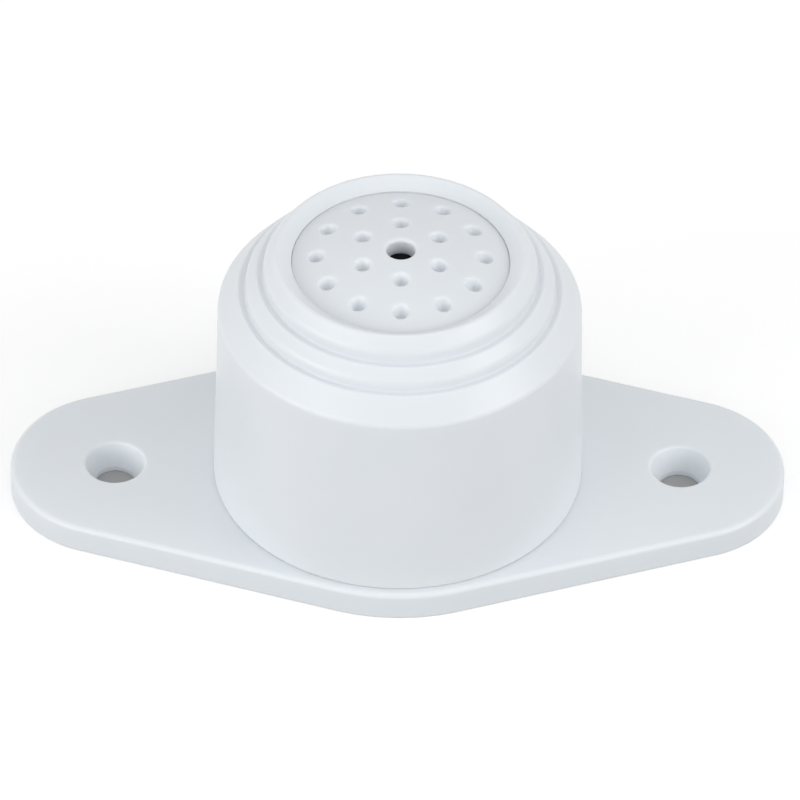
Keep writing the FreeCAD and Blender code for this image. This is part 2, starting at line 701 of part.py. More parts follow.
def make_capsule():
    """Electret capsule: can, felt, terminal disc and pins, with the rubber sleeve round it."""
    can = new_body("capsule_can", can_bottom_z)
    profile = new_sketch(can, "XZ_Plane")
    recess_r = s.terminal_diameter / 2 + s.slip_clearance
    draw_outline(profile, [
        (ZERO, s.terminal_thickness),
        (recess_r, s.terminal_thickness),
        (recess_r, ZERO),
        (capsule_r, ZERO),
        (capsule_r, s.capsule_height - s.capsule_bevel),
        (capsule_r - s.capsule_bevel, s.capsule_height),
        (ZERO, s.capsule_height),
    ])
    turn(can, "Revolution", profile)

    felt = new_body("capsule_felt", can_top_z)
    disc = new_sketch(felt)
    draw_circle(disc, ZERO, ZERO, s.felt_diameter / 2)
    grow(felt, "Pad", disc, s.felt_thickness)

    terminal = new_body("capsule_terminal_disc", can_bottom_z)
    disc = new_sketch(terminal)
    draw_circle(disc, ZERO, ZERO, s.terminal_diameter / 2)
    grow(terminal, "Pad", disc, s.terminal_thickness)

    pins = new_body("capsule_pins", board_z)
    pin = new_sketch(pins, offset=-s.pin_tail)
    draw_circle(pin, -s.pin_spacing / 2, ZERO, s.pin_diameter / 2)
    draw_circle(pin, s.pin_spacing / 2, ZERO, s.pin_diameter / 2)
    grow(pins, "Pad", pin, s.pin_tail + s.board_thickness + s.boot_lip)

    boot = new_body("capsule_sleeve", board_top_z)
    profile = new_sketch(boot, "XZ_Plane")
    top = s.boot_lip + s.capsule_height - s.boot_bare
    draw_outline(profile, [
        (s.boot_opening / 2, ZERO),
        (boot_r, ZERO),
        (boot_r, top),
        (boot_bore_r, top),
        (boot_bore_r, s.boot_lip),
        (s.boot_opening / 2, s.boot_lip),
    ])
    turn(boot, "Revolution", profile)
    return [can, felt, terminal, pins, boot]


def make_block(label, across, along, length, width, height, standoff):
    """A moulded block that hangs below the board."""
    body = new_body(label, board_z)
    outline = new_sketch(body, offset=-standoff)
    left = across - length / 2
    front = along - width / 2
    draw_rectangle(outline, left, front, left + length, front + width)
    grow(body, "Pad", outline, height, away=True)
    return body


def make_leads(label, across, along, span, over, level, width, pitch, count, both_sides):
    """Bent leads that run from a chip's side down to a flat foot on the board."""
    body = new_body(label, board_z)
    first = across - pitch * (count - 1) / 2 - width / 2
    profile = new_sketch(body, "YZ_Plane", first)
    sheet_thickness = s.lead_thickness
    sides = (Size("1", 1.0), Size("-1", -1.0)) if both_sides else (Size("-1", -1.0),)
    for side in sides:
        chip_side = along + side * span / 2
        tip = along + side * over / 2
        bend = tip - side * s.lead_foot
        draw_outline(profile, [
            (chip_side, -level),
            (bend + side * sheet_thickness, -level),
            (bend + side * sheet_thickness, -sheet_thickness),
            (tip, -sheet_thickness),
            (tip, ZERO),
            (bend, ZERO),
            (bend, -level + sheet_thickness),
            (chip_side, -level + sheet_thickness),
        ])
    lead = grow(body, "Pad", profile, width)
    if count.value > 1:
        repeat_along(body, [lead], pitch, count)
    return body


def make_small_chips(label, along, height, count):
    """A row of small chip parts under the board."""
    body = make_block(
        label, -s.small_chip_pitch * (count - 1) / 2, along,
        s.small_chip_width, s.small_chip_length, height, ZERO,
    )
    repeat_along(body, [body.Tip], s.small_chip_pitch, count)
    return body


def make_capacitors():
    """Two electrolytic capacitors, each a can on a square base with two cut corners."""
    bases = new_body("capacitor_bases", board_z)
    outline = new_sketch(bases)
    half = s.capacitor_base / 2
    left, right = s.capacitor_side - half, s.capacitor_side + half
    low, high = s.capacitor_back - half, s.capacitor_back + half
    draw_outline(outline, [
        (left + s.capacitor_corner, low),
        (right - s.capacitor_corner, low),
        (right, low + s.capacitor_corner),
        (right, high),
        (left, high),
        (left, low + s.capacitor_corner),
    ])
    base = grow(bases, "Pad", outline, s.capacitor_base_height, away=True)

    cans = new_body("capacitor_cans", board_z)
    profile = new_sketch(cans, offset=-s.capacitor_base_height)
    draw_circle(profile, s.capacitor_side, s.capacitor_back, s.capacitor_diameter / 2)
    can = grow(cans, "Pad", profile, s.capacitor_height - s.capacitor_base_height, away=True)
    for body, feature in ((bases, base), (cans, can)):
        doc.recompute()
        mirror = body.newObject("PartDesign::Mirrored", f"{body.Label}_pair")
        mirror.Originals = [feature]
        mirror.MirrorPlane = (origin_item(body, "YZ_Plane"), [""])
        body.Tip = mirror
    return [bases, cans]


def make_wire_header():
    """Open three-way header and its pins, where the cable's wires plug in."""
    header = make_block(
        "wire_header", ZERO, s.header_back, s.header_length, s.header_width, s.header_height, ZERO,
    )
    cavity = new_sketch(header, offset=-s.header_floor)
    half_length = s.header_length / 2 - s.header_wall
    half_width = s.header_width / 2 - s.header_wall
    draw_rectangle(
        cavity, -half_length, s.header_back - half_width, half_length, s.header_back + half_width,
    )
    grow(header, "Pocket", cavity, s.header_height)
    first = -s.header_pitch * (s.header_pin_count - 1) / 2
    half_pin = s.header_pin / 2
    hole_half = half_pin + s.slip_clearance
    seat = new_sketch(header)
    draw_rectangle(
        seat, first - hole_half, s.header_back - hole_half, first + hole_half, s.header_back + hole_half,
    )
    hole = grow(header, "Pocket", seat, s.header_floor)
    repeat_along(header, [hole], s.header_pitch, s.header_pin_count)

    pins = new_body("header_pins", board_z)
    outline = new_sketch(pins, offset=-s.header_pin_length)
    draw_rectangle(
        outline, first - half_pin, s.header_back - half_pin, first + half_pin, s.header_back + half_pin,
    )
    pin = grow(pins, "Pad", outline, s.header_pin_length + s.board_thickness + s.pin_tail / 2)
    repeat_along(pins, [pin], s.header_pitch, s.header_pin_count)
    return [header, pins]


def make_cable_grommet():
    """Rubber grommet in the back wall, turned about the outlet's own axis."""
    body = new_body("cable_grommet", s.outlet_height)
    profile = new_sketch(body, "XY_Plane")
    bore_r = s.grommet_bore / 2
    neck_r = s.outlet_hole / 2 - s.grommet_clearance
    flange_r = s.grommet_flange / 2
    tail_r = s.grommet_tail / 2
    outside = outlet_face + s.grommet_flange_thickness
    inside = outlet_inner_face - s.grommet_tail_thickness
    draw_outline(profile, [
        (bore_r, inside),
        (tail_r - s.grommet_bevel, inside),
        (tail_r, inside + s.grommet_bevel),
        (tail_r, outlet_inner_face),
        (neck_r, outlet_inner_face),
        (neck_r, outlet_face),
        (flange_r, outlet_face),
        (flange_r, outside - s.grommet_bevel),
        (flange_r - s.grommet_bevel, outside),
        (bore_r, outside),
    ])
    turn(body, "Revolution", profile)
    return body


def make_electronics():
    """Everything that is soldered under the circuit board."""
    pieces = [
        make_block(
            "amplifier_chip", -s.amplifier_left, -s.amplifier_front,
            s.amplifier_length, s.amplifier_width, s.amplifier_height, s.chip_standoff,
        ),
        make_leads(
            "amplifier_leads", -s.amplifier_left, -s.amplifier_front, s.amplifier_width,
            s.amplifier_across, s.amplifier_height / 2 + s.chip_standoff,
            s.lead_width, s.lead_pitch, s.lead_count, True,
        ),
        make_block(
            "supply_regulator", s.regulator_right, -s.regulator_front,
            s.regulator_length, s.regulator_width, s.regulator_height, s.chip_standoff,
        ),
        make_leads(
            "regulator_leads", s.regulator_right, -s.regulator_front, s.regulator_width,
            s.regulator_across, s.regulator_height / 2,
            s.lead_width, s.regulator_lead_pitch, s.regulator_lead_count, False,
        ),
        make_block(
            "protection_diode", s.diode_right, -s.diode_front,
            s.diode_width, s.diode_length, s.diode_height, s.chip_standoff,
        ),
        make_leads(
            "diode_leads", s.diode_right, -s.diode_front, s.diode_length,
            s.diode_across, s.diode_height / 2,
            s.diode_lead_width, ZERO, Size("1", 1.0), True,
        ),
        make_small_chips("chip_resistors", -s.resistor_front, s.resistor_height, s.resistor_count),
        make_small_chips("chip_capacitors", s.ceramic_back, s.ceramic_height, s.ceramic_count),
    ]
    return pieces + make_capacitors() + make_wire_header()


def make_microphone():
    """Build every sub-part and return the list of them."""
    parts = [make_base_plate(), make_body_shell(), make_dimpled_cap()]
    parts.append(make_screws(
        "case_screws", s.head_recess_depth, case_boss_place, "X_Axis", s.case_screw_head / 2,
        s.case_screw_head_height, s.case_screw_shank / 2, s.case_screw_length,
    ))
    parts.append(make_screws(
        "board_screws", board_z, board_screw_place, "Y_Axis", s.board_screw_head / 2,
        s.board_screw_head_height, s.board_screw_shank / 2, s.board_screw_length,
    ))
    parts.append(make_circuit_board())
    parts.extend(make_capsule())
    parts.extend(make_electronics())
    parts.append(make_cable_grommet())
    return parts


def check_document(parts):
    """Stop if any object failed or any sub-part has no sound shape."""
    for item in doc.Objects:
        if "Invalid" in item.State or "Error" in item.State:
            raise RuntimeError(f"{item.Label} failed: {item.State}")
    for part in parts:
        if part.Shape.isNull() or not part.Shape.isValid():
            raise RuntimeError(f"{part.Label} has no valid shape")


def write_parts(parts):
    """Write each sub-part to its own file."""
    os.makedirs("parts", exist_ok=True)
    for part in parts:
        part.Shape.exportStep(f"parts/{part.Label}.step")
        box = part.Shape.BoundBox
        print(f"{part.Label}: {len(part.Shape.Solids)} solid(s), {part.Shape.Volume:.1f} mm3, "
              f"Z {box.ZMin:.2f} to {box.ZMax:.2f}")


all_parts = make_microphone()
doc.recompute()
check_document(all_parts)
write_parts(all_parts)
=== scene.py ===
"""Looks of a surveillance microphone: white mouldings, black felt, rubber, screws and electronics.

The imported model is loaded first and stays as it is. The white mouldings, the grommet and the screws
are made again as smooth surfaces of the same form, with the soft edges that they really have. The
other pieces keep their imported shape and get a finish. Sizes in the classes are millimetres, and
meshes are in metres.
"""

import logging
import math
from collections.abc import Callable
from dataclasses import dataclass
from enum import Enum

import bmesh
import bpy
import numpy as np
from mathutils import Matrix, Vector


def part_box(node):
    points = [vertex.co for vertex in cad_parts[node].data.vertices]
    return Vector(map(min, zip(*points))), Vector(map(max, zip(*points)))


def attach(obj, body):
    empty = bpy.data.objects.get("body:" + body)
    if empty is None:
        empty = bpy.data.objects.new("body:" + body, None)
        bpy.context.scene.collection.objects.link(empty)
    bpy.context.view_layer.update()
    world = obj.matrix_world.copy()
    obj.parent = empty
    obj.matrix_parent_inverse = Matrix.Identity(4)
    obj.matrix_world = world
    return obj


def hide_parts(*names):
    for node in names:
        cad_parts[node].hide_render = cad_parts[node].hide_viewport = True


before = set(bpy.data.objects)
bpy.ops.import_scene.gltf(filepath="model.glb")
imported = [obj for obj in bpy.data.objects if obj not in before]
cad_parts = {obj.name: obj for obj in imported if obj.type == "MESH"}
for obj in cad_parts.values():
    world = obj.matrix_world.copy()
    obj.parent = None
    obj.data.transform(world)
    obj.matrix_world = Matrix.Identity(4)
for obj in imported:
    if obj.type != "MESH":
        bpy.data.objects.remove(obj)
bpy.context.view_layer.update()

MM = 0.001
TURN = 2.0 * math.pi
BODY = "root"
LOG = logging.getLogger("microphone")
Triple = tuple[float, float, float]
Socket = bpy.types.NodeSocket
Inputs = dict[str | int, Socket | float | tuple[float, ...]]


class Axis(Enum):
    """Which way the axis of a turned piece points."""

    UP = (0, 1, 2)
    BACK = (0, 2, 1)


@dataclass(frozen=True)
class Corner:
    """A corner of a profile: its place and the radius of its soft edge."""

    across: float
    up: float
    radius: float = 0.0


def node_box(node: str) -> np.ndarray:
    """Give a node's lowest and highest corner in millimetres, as two rows."""
    return np.array(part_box(node)) / MM


def round_corner(place: np.ndarray, back: np.ndarray, ahead: np.ndarray, radius: float) -> np.ndarray:
    """Give the points of an arc that replaces a corner.

    The arc is tangent to both runs. Its centre lies on the corner's bisector, at the radius divided
    by the sine of half the corner's angle, and its ends lie at the radius divided by the tangent of
    that half. One more point on each run, close to the arc, keeps the run's shading flat.

    Args:
        place: the corner.
        back: the run to the corner before it.
        ahead: the run to the corner after it.
        radius: radius of the arc.

    Returns:
        Rows of across and up.
    """
    largest_step = 14.0
    fewest_steps = 2
    hold = 0.05
    run_parts = 3
    lengths = np.linalg.norm(back), np.linalg.norm(ahead)
    back, ahead = back / lengths[0], ahead / lengths[1]
    half = math.acos(float(np.clip(back @ ahead, -1.0, 1.0))) / 2
    trim = radius / math.tan(half)
    bisector = (back + ahead) / np.linalg.norm(back + ahead)
    centre = place + bisector * radius / math.sin(half)
    sweep = math.pi - 2 * half
    count = max(fewest_steps, math.ceil(math.degrees(sweep) / largest_step))
    start = place + back * trim - centre
    side = np.sign(bisector[0] * start[1] - bisector[1] * start[0])
    angles = side * np.linspace(0.0, sweep, count + 1)
    arc = np.stack([
        start[0] * np.cos(angles) - start[1] * np.sin(angles),
        start[0] * np.sin(angles) + start[1] * np.cos(angles),
    ], axis=1)
    before = place + back * (trim + min(hold, max(lengths[0] - trim, 0.0) / run_parts))
    after = place + ahead * (trim + min(hold, max(lengths[1] - trim, 0.0) / run_parts))
    return np.vstack([before, centre + arc, after])


def soften(corners: list[Corner], closed: bool = False) -> np.ndarray:
    """Give a profile's points, with each corner that has a radius made an arc.

    Args:
        corners: the profile's corners in order.
        closed: whether the last corner runs back to the first.

    Returns:
        Rows of across and up.
    """
    places = np.array([(corner.across, corner.up) for corner in corners])
    points = []
    for index, corner in enumerate(corners):
        is_end = not closed and index in (0, len(corners) - 1)
        if corner.radius <= 0 or is_end:
            points.append(places[index][None])
            continue
        following = places[(index + 1) % len(corners)]
        points.append(round_corner(
            places[index], places[index - 1] - places[index], following - places[index], corner.radius,
        ))
    return np.vstack(points)


def revolve(profile: np.ndarray, count: int, centre: tuple[float, float] = (0.0, 0.0),
            axis: Axis = Axis.UP) -> np.ndarray:
    """Turn a profile about an axis.

    A point goes to its distance from the axis times cosine and sine of the angle, at its place
    along the axis.

    Args:
        profile: rows of distance from the axis and place along it.
        count: columns round the axis.
        centre: place of the axis.
        axis: which way it points.

    Returns:
        A grid with a row for each point of the profile and a column for each angle.
    """
    angles = np.arange(count) * TURN / count
    across, along = profile[:, :1], profile[:, 1:]
    grid = np.stack([
        centre[0] + across * np.cos(angles),
        centre[1] + across * np.sin(angles),
        np.broadcast_to(along, (len(profile), count)),
    ], axis=2)
    return grid[..., list(axis.value)]


def border(block: np.ndarray) -> np.ndarray:
    """Give the loop of points round a block of a grid: first row, last column and back."""
    return np.vstack([block[0, :-1], block[:-1, -1], block[-1, :0:-1], block[:0:-1, 0]])


class Shell:
    """Collects grids and flat faces, and makes one closed mesh of them."""

    weld = 0.002
    sharp_angle = 34.0

    def __init__(self) -> None:
        """Start with nothing."""
        self.points: list[np.ndarray] = []
        self.faces: list[list[int]] = []
        self.count = 0

    def add_points(self, points: np.ndarray) -> np.ndarray:
        """Keep points.

        Args:
            points: rows of a place in millimetres.

        Returns:
            Their numbers in the mesh.
        """
        numbers = np.arange(self.count, self.count + len(points))
        self.points.append(points)
        self.count += len(points)
        return numbers

    def add_grid(self, grid: np.ndarray, round_columns: bool = True, round_rows: bool = False,
                 keep: np.ndarray | None = None) -> None:
        """Add the four-sided faces of a grid.

        Args:
            grid: rows by columns of points.
            round_columns: whether the last column joins the first.
            round_rows: whether the last row joins the first.
            keep: the cells that are kept, rows by columns of truth values.
        """
        rows, columns = grid.shape[:2]
        numbers = self.add_points(grid.reshape(-1, 3)).reshape(rows, columns)
        if round_columns:
            numbers = np.hstack([numbers, numbers[:, :1]])
        if round_rows:
            numbers = np.vstack([numbers, numbers[:1]])
        cells = np.stack([numbers[:-1, :-1], numbers[:-1, 1:], numbers[1:, 1:], numbers[1:, :-1]], axis=2)
        chosen = cells.reshape(-1, 4) if keep is None else cells[keep]
        self.faces += chosen.tolist()

    def add_halves(self, outer: np.ndarray, holes: list[np.ndarray]) -> None:
        """Fill between a loop and the holes in it with two flat faces that meet on the line y = 0.

        Each loop starts at its right end on that line and has half its points on each side of it.

        Args:
            outer: the outer loop.
            holes: the loops of the holes, from left to right.
        """
        rim = self.add_points(outer).tolist()
        inner = [self.add_points(hole).tolist() for hole in holes]
        half = len(rim) // 2
        upper = rim[:half + 1]
        lower = rim[half:] + rim[:1]
        for loop in inner:
            upper += loop[:len(loop) // 2 + 1][::-1]
        for loop in reversed(inner):
            lower += (loop[len(loop) // 2:] + loop[:1])[::-1]
        self.faces += [upper, lower]

    def add_block(self, low: Triple, high: Triple) -> None:
        """Add a closed block: a loop of four points at its lower end, and the same at its upper end.

        Args:
            low: its left, front, lower corner.
            high: its right, back, upper corner.
        """
        (left, front, bottom), (right, back, top) = low, high
        loop = np.array([(left, front), (right, front), (right, back), (left, back)])
        ends = [np.column_stack([loop, np.full(4, height)]) for height in (bottom, top)]
        numbers = np.arange(self.count, self.count + 8).reshape(2, 4)
        self.add_grid(np.stack(ends))
        self.faces += numbers.tolist()

    def make(self, name: str, material: bpy.types.Material) -> bpy.types.Object:
        """Make the object: points that meet become one, and the faces turn outwards.

        Args:
            name: name of the piece.
            material: its finish.

        Returns:
            The new object, at the origin.
        """
        mesh = bpy.data.meshes.new(name)
        mesh.from_pydata((np.vstack(self.points) * MM).tolist(), [], self.faces)
        shape = bmesh.new()
        shape.from_mesh(mesh)
        bmesh.ops.remove_doubles(shape, verts=shape.verts, dist=self.weld * MM)
        bmesh.ops.recalc_face_normals(shape, faces=shape.faces)
        shape.to_mesh(mesh)
        shape.free()
        mesh.polygons.foreach_set("use_smooth", np.ones(len(mesh.polygons), dtype=bool))
        mesh.set_sharp_from_angle(angle=math.radians(self.sharp_angle))
        mesh.materials.append(material)
        piece = bpy.data.objects.new(name, mesh)
        bpy.context.scene.collection.objects.link(piece)
        return piece


class Nodes:
    """A node tree, with a call for each group of nodes that the surfaces use."""

    noise_low = 0.3
    noise_high = 0.7

    def __init__(self, tree: bpy.types.NodeTree) -> None:
        """Take the tree of a material or of the world."""
        self.tree = tree

    def fill(self, node: bpy.types.Node, inputs: Inputs) -> None:
        """Set a node's inputs.

        Args:
            node: the node.
            inputs: for each input a value, or an output that it is joined to.
        """
        for name, value in inputs.items():
            if isinstance(value, Socket):
                self.tree.links.new(value, node.inputs[name])
            else:
                node.inputs[name].default_value = value

    def add(self, kind: str, inputs: Inputs | None = None, operation: str = "") -> bpy.types.Node:
        """Add a node.

        Args:
            kind: its type, without the words that all types start with.
            inputs: its inputs, as fill takes them.
            operation: what it works out, for a node that has a choice.

        Returns:
            The new node.
        """
        node = self.tree.nodes.new("ShaderNode" + kind)
        if operation:
            node.operation = operation
        self.fill(node, inputs or {})
        return node

    def noise(self, size: float, detail: float, stretch: Triple = (1.0, 1.0, 1.0)) -> Socket:
        """Add noise in object space.

        Args:
            size: size of its patches in millimetres.
            detail: octaves of finer noise.
            stretch: factor on each axis.

        Returns:
            The noise, from 0 to 1.
        """
        place = self.add("TexCoord").outputs["Object"]
        stretched = self.add("Mapping", {"Vector": place, "Scale": stretch}).outputs["Vector"]
        return self.add("TexNoise", {
            "Vector": stretched, "Scale": 1.0 / (size * MM), "Detail": detail}).outputs["Fac"]

    def spread(self, source: Socket, low: float, high: float) -> Socket:
        """Map the middle of a noise's range to a range of values.

        Args:
            source: the noise.
            low: value at the low end.
            high: value at the high end.

        Returns:
            The mapped value.
        """
        return self.add("MapRange", {
            "Value": source, "From Min": self.noise_low, "From Max": self.noise_high,
            "To Min": low, "To Max": high,
        }).outputs["Result"]

    def blend(self, source: Socket, first: Triple, second: Triple) -> Socket:
        """Run between two colours by the middle of a noise's range.

        Args:
            source: the noise.
            first: colour at the low end.
            second: colour at the high end.

        Returns:
            The colour.
        """
        ramp = self.add("ValToRGB", {"Fac": source})
        low, high = ramp.color_ramp.elements
        low.position, high.position = self.noise_low, self.noise_high
        low.color, high.color = (*first, 1.0), (*second, 1.0)
        return ramp.outputs["Color"]

    def bump(self, source: Socket, depth: float) -> Socket:
        """Raise the surface by a noise.

        Args:
            source: the noise.
            depth: the height of its full range, in millimetres.

        Returns:
            The surface's direction.
        """
        return self.add("Bump", {
            "Height": source, "Strength": 1.0, "Distance": depth * MM}).outputs["Normal"]

    def seen(self) -> Socket:
        """Tell apart the rays that see a surface from those that carry its light.

        Returns:
            1 for a ray from the camera, a mirrored one or one through glass, and 0 for the rest.
        """
        path = self.add("LightPath")
        seen = path.outputs["Is Camera Ray"]
        for ray in ("Is Glossy Ray", "Is Transmission Ray"):
            seen = self.add("Math", {0: seen, 1: path.outputs[ray]}, "MAXIMUM").outputs["Value"]
        return seen


@dataclass(frozen=True)
class Finish:
    """A surface: two shades that it wanders between, its gloss and its grain.

    patch and grain are the sizes of the shades' patches and of the grain, and gloss_finer is how many
    times smaller the gloss's patches are. subsurface_depth is how far light spreads below the surface,
    and the details are octaves of noise.
    """

    name: str
    shade: Triple
    other_shade: Triple
    patch: float
    roughness: tuple[float, float]
    grain: float
    grain_depth: float
    metallic: float = 0.0
    coat: float = 0.0
    coat_roughness: float = 0.1
    specular: float = 0.5
    subsurface: float = 0.0
    subsurface_depth: float = 1.0
    stretch: Triple = (1.0, 1.0, 1.0)
    gloss_finer: float = 3.0
    patch_detail: float = 3.0
    fine_detail: float = 4.0

    def material(self) -> bpy.types.Material:
        """Make the material once: colour and roughness follow their own noises, and the grain is bump.

        Returns:
            The material.
        """
        made = bpy.data.materials.get(self.name)
        if made:
            return made
        material = bpy.data.materials.new(self.name)
        material.use_nodes = True
        nodes = Nodes(material.node_tree)
        patches = nodes.noise(self.patch, self.patch_detail)
        gloss = nodes.noise(self.patch / self.gloss_finer, self.fine_detail, self.stretch)
        grain = nodes.noise(self.grain, self.fine_detail, self.stretch)
        nodes.fill(material.node_tree.nodes["Principled BSDF"], {
            "Base Color": nodes.blend(patches, self.shade, self.other_shade),
            "Roughness": nodes.spread(gloss, *self.roughness),
            "Normal": nodes.bump(grain, self.grain_depth),
            "Metallic": self.metallic,
            "Coat Weight": self.coat,
            "Coat Roughness": self.coat_roughness,
            "Specular IOR Level": self.specular,
            "Subsurface Weight": self.subsurface,
            "Subsurface Radius": (1.0, 1.0, 1.0),
            "Subsurface Scale": self.subsurface_depth * MM,
        })
        return material


WHITE_PLASTIC = Finish(
    "white_moulding", (0.788, 0.826, 0.859), (0.800, 0.836, 0.868),
    patch=9.0, roughness=(0.30, 0.36), grain=0.22, grain_depth=0.0016,
    subsurface=0.5,
)
GROMMET_RUBBER = Finish(
    "grommet_rubber", (0.58, 0.59, 0.60), (0.63, 0.64, 0.65),
    patch=2.0, roughness=(0.55, 0.7), grain=0.12, grain_depth=0.004,
)
SLEEVE_RUBBER = Finish(
    "sleeve_rubber", (0.018, 0.018, 0.019), (0.028, 0.028, 0.029),
    patch=1.5, roughness=(0.55, 0.7), grain=0.12, grain_depth=0.004,
)
SCREW_STEEL = Finish(
    "zinc_plated_steel", (0.60, 0.61, 0.63), (0.70, 0.70, 0.71),
    patch=0.7, roughness=(0.22, 0.36), grain=0.10, grain_depth=0.002,
    metallic=1.0,
)
BOARD_LAMINATE = Finish(
    "solder_mask", (0.012, 0.13, 0.055), (0.016, 0.17, 0.07),
    patch=1.6, roughness=(0.25, 0.4), grain=0.3, grain_depth=0.006,
    coat=0.4,
)
CAN_ALUMINIUM = Finish(
    "drawn_aluminium", (0.74, 0.75, 0.77), (0.80, 0.81, 0.82),
    patch=1.2, roughness=(0.25, 0.4), grain=0.15, grain_depth=0.002,
    metallic=1.0, stretch=(1.0, 1.0, 0.1),
)
FELT = Finish(
    "black_felt", (0.004, 0.004, 0.005), (0.016, 0.016, 0.018),
    patch=0.35, roughness=(0.9, 1.0), grain=0.09, grain_depth=0.05,
    specular=0.1,
)
TINNED_METAL = Finish(
    "tinned_metal", (0.70, 0.70, 0.69), (0.80, 0.80, 0.79),
    patch=0.4, roughness=(0.2, 0.36), grain=0.08, grain_depth=0.002,
    metallic=1.0,
)
CHIP_PLASTIC = Finish(
    "moulding_compound", (0.018, 0.018, 0.020), (0.030, 0.030, 0.032),
    patch=0.6, roughness=(0.5, 0.62), grain=0.06, grain_depth=0.003,
)
CERAMIC = Finish(
    "tan_ceramic", (0.46, 0.33, 0.20), (0.54, 0.40, 0.25),
    patch=0.5, roughness=(0.35, 0.5), grain=0.08, grain_depth=0.002,
)
HEADER_NYLON = Finish(
    "natural_nylon", (0.76, 0.73, 0.65), (0.82, 0.79, 0.72),
    patch=1.4, roughness=(0.4, 0.5), grain=0.15, grain_depth=0.003,
)

NODE_FINISHES = {
    CAN_ALUMINIUM: ("capsule_can", "capacitor_cans"),
    FELT: ("capsule_felt",),
    BOARD_LAMINATE: ("circuit_board", "capsule_terminal_disc"),
    TINNED_METAL: ("capsule_pins", "amplifier_leads", "regulator_leads", "diode_leads", "header_pins"),
    SLEEVE_RUBBER: ("capsule_sleeve",),
    CHIP_PLASTIC: (
        "amplifier_chip", "supply_regulator", "protection_diode", "capacitor_bases", "chip_resistors",
    ),
    CERAMIC: ("chip_capacitors",),
    HEADER_NYLON: ("wire_header",),
}


@dataclass
class Plate:
    """Mounting plate: its outline, two wall screw holes, two case screw recesses and the inner ring."""

    hole_place: float = 29.2
    edge_round: float = 0.5
    foot_round: float = 0.15
    inset: float = 1.3
    hole_bore: float = 2.1
    hole_mouth: float = 3.1
    hole_land: float = 0.6
    hole_round: float = 0.35
    ring_outer: float = 16.88
    ring_inner: float = 15.58
    ring_round: float = 0.2
    screw_place: float = 12.58
    screw_hole: float = 1.5
    recess: float = 2.8
    recess_depth: float = 1.9
    small_round: float = 0.1
    margin: float = 0.4
    arc_points: int = 28
    straight_points: int = 10
    hole_columns: int = 96
    screw_columns: int = 64
    ring_columns: int = 192

    def outline(self, inset: float, height: float) -> np.ndarray:
        """Give the plate's outline, moved inwards by an inset.

        A quarter of it is an arc about the screw hole, a straight run and an arc about the middle.
        Both arcs end where the angle's cosine is the difference of their radii over the distance
        between their centres. The other quarters are its mirror images.

        Args:
            inset: how far inside the real outline.
            height: height of the loop.

        Returns:
            Rows of points that start at the right end.
        """
        half_length, half_width = node_box("base_plate")[1][:2]
        end_r = half_length - self.hole_place
        lean = math.acos((half_width - end_r) / self.hole_place)
        low = np.linspace(0.0, lean, self.arc_points)
        high = np.linspace(lean, TURN / 4, self.arc_points)
        end = np.stack([
            self.hole_place + (end_r - inset) * np.cos(low), (end_r - inset) * np.sin(low)], axis=1)
        waist = (half_width - inset) * np.stack([np.cos(high), np.sin(high)], axis=1)
        share = np.linspace(0.0, 1.0, self.straight_points + 2)[1:-1, None]
        quarter = np.vstack([end, end[-1] * (1 - share) + waist[0] * share, waist])
        half = np.vstack([quarter, (quarter * (-1, 1))[::-1][1:]])
        loop = np.vstack([half, (half * (1, -1))[::-1][1:-1]])
        return np.column_stack([loop, np.full(len(loop), height)])

    def build(self) -> bpy.types.Object:
        """Make the plate: a profile carried round the outline, turned holes and flat faces between.

        Returns:
            The plate.
        """
        top = node_box("body_shell")[0][2]
        ring_top = node_box("base_plate")[1][2]
        shell = Shell()
        edge = soften([
            Corner(self.inset, 0.0), Corner(0.0, 0.0, self.foot_round),
            Corner(0.0, top, self.edge_round), Corner(self.inset, top),
        ])
        shell.add_grid(np.stack([self.outline(inset, height) for inset, height in edge]))

        wall_hole = soften([
            Corner(self.hole_mouth + self.margin, top), Corner(self.hole_mouth, top, self.hole_round),
            Corner(self.hole_bore, self.hole_land, self.small_round),
            Corner(self.hole_bore, 0.0, self.small_round), Corner(self.hole_bore + self.margin, 0.0),
        ])
        case_hole = soften([
            Corner(self.screw_hole + self.margin, top), Corner(self.screw_hole, top, self.small_round),
            Corner(self.screw_hole, self.recess_depth, self.small_round),
            Corner(self.recess, self.recess_depth),
            Corner(self.recess, 0.0, self.small_round), Corner(self.recess + self.margin, 0.0),
        ])
        inner_ring = soften([
            Corner(self.ring_outer + self.margin, top), Corner(self.ring_outer, top),
            Corner(self.ring_outer, ring_top, self.ring_round),
            Corner(self.ring_inner, ring_top, self.ring_round),
            Corner(self.ring_inner, top), Corner(self.ring_inner - self.margin, top),
        ])
        wall_holes = [
            revolve(wall_hole, self.hole_columns, (side * self.hole_place, 0.0)) for side in (-1, 1)]
        case_holes = [
            revolve(case_hole, self.screw_columns, (side * self.screw_place, 0.0)) for side in (-1, 1)]
        ring = revolve(inner_ring, self.ring_columns)
        for grid in (*wall_holes, *case_holes, ring):
            shell.add_grid(grid)
        shell.add_halves(self.outline(self.inset, top), [wall_holes[0][0], ring[0], wall_holes[1][0]])
        shell.add_halves(ring[-1], [case_holes[0][0], case_holes[1][0]])
        shell.add_halves(self.outline(self.inset, 0.0), [
            wall_holes[0][-1], case_holes[0][-1], case_holes[1][-1], wall_holes[1][-1]])
        return shell.make("mounting_plate", WHITE_PLASTIC.material())


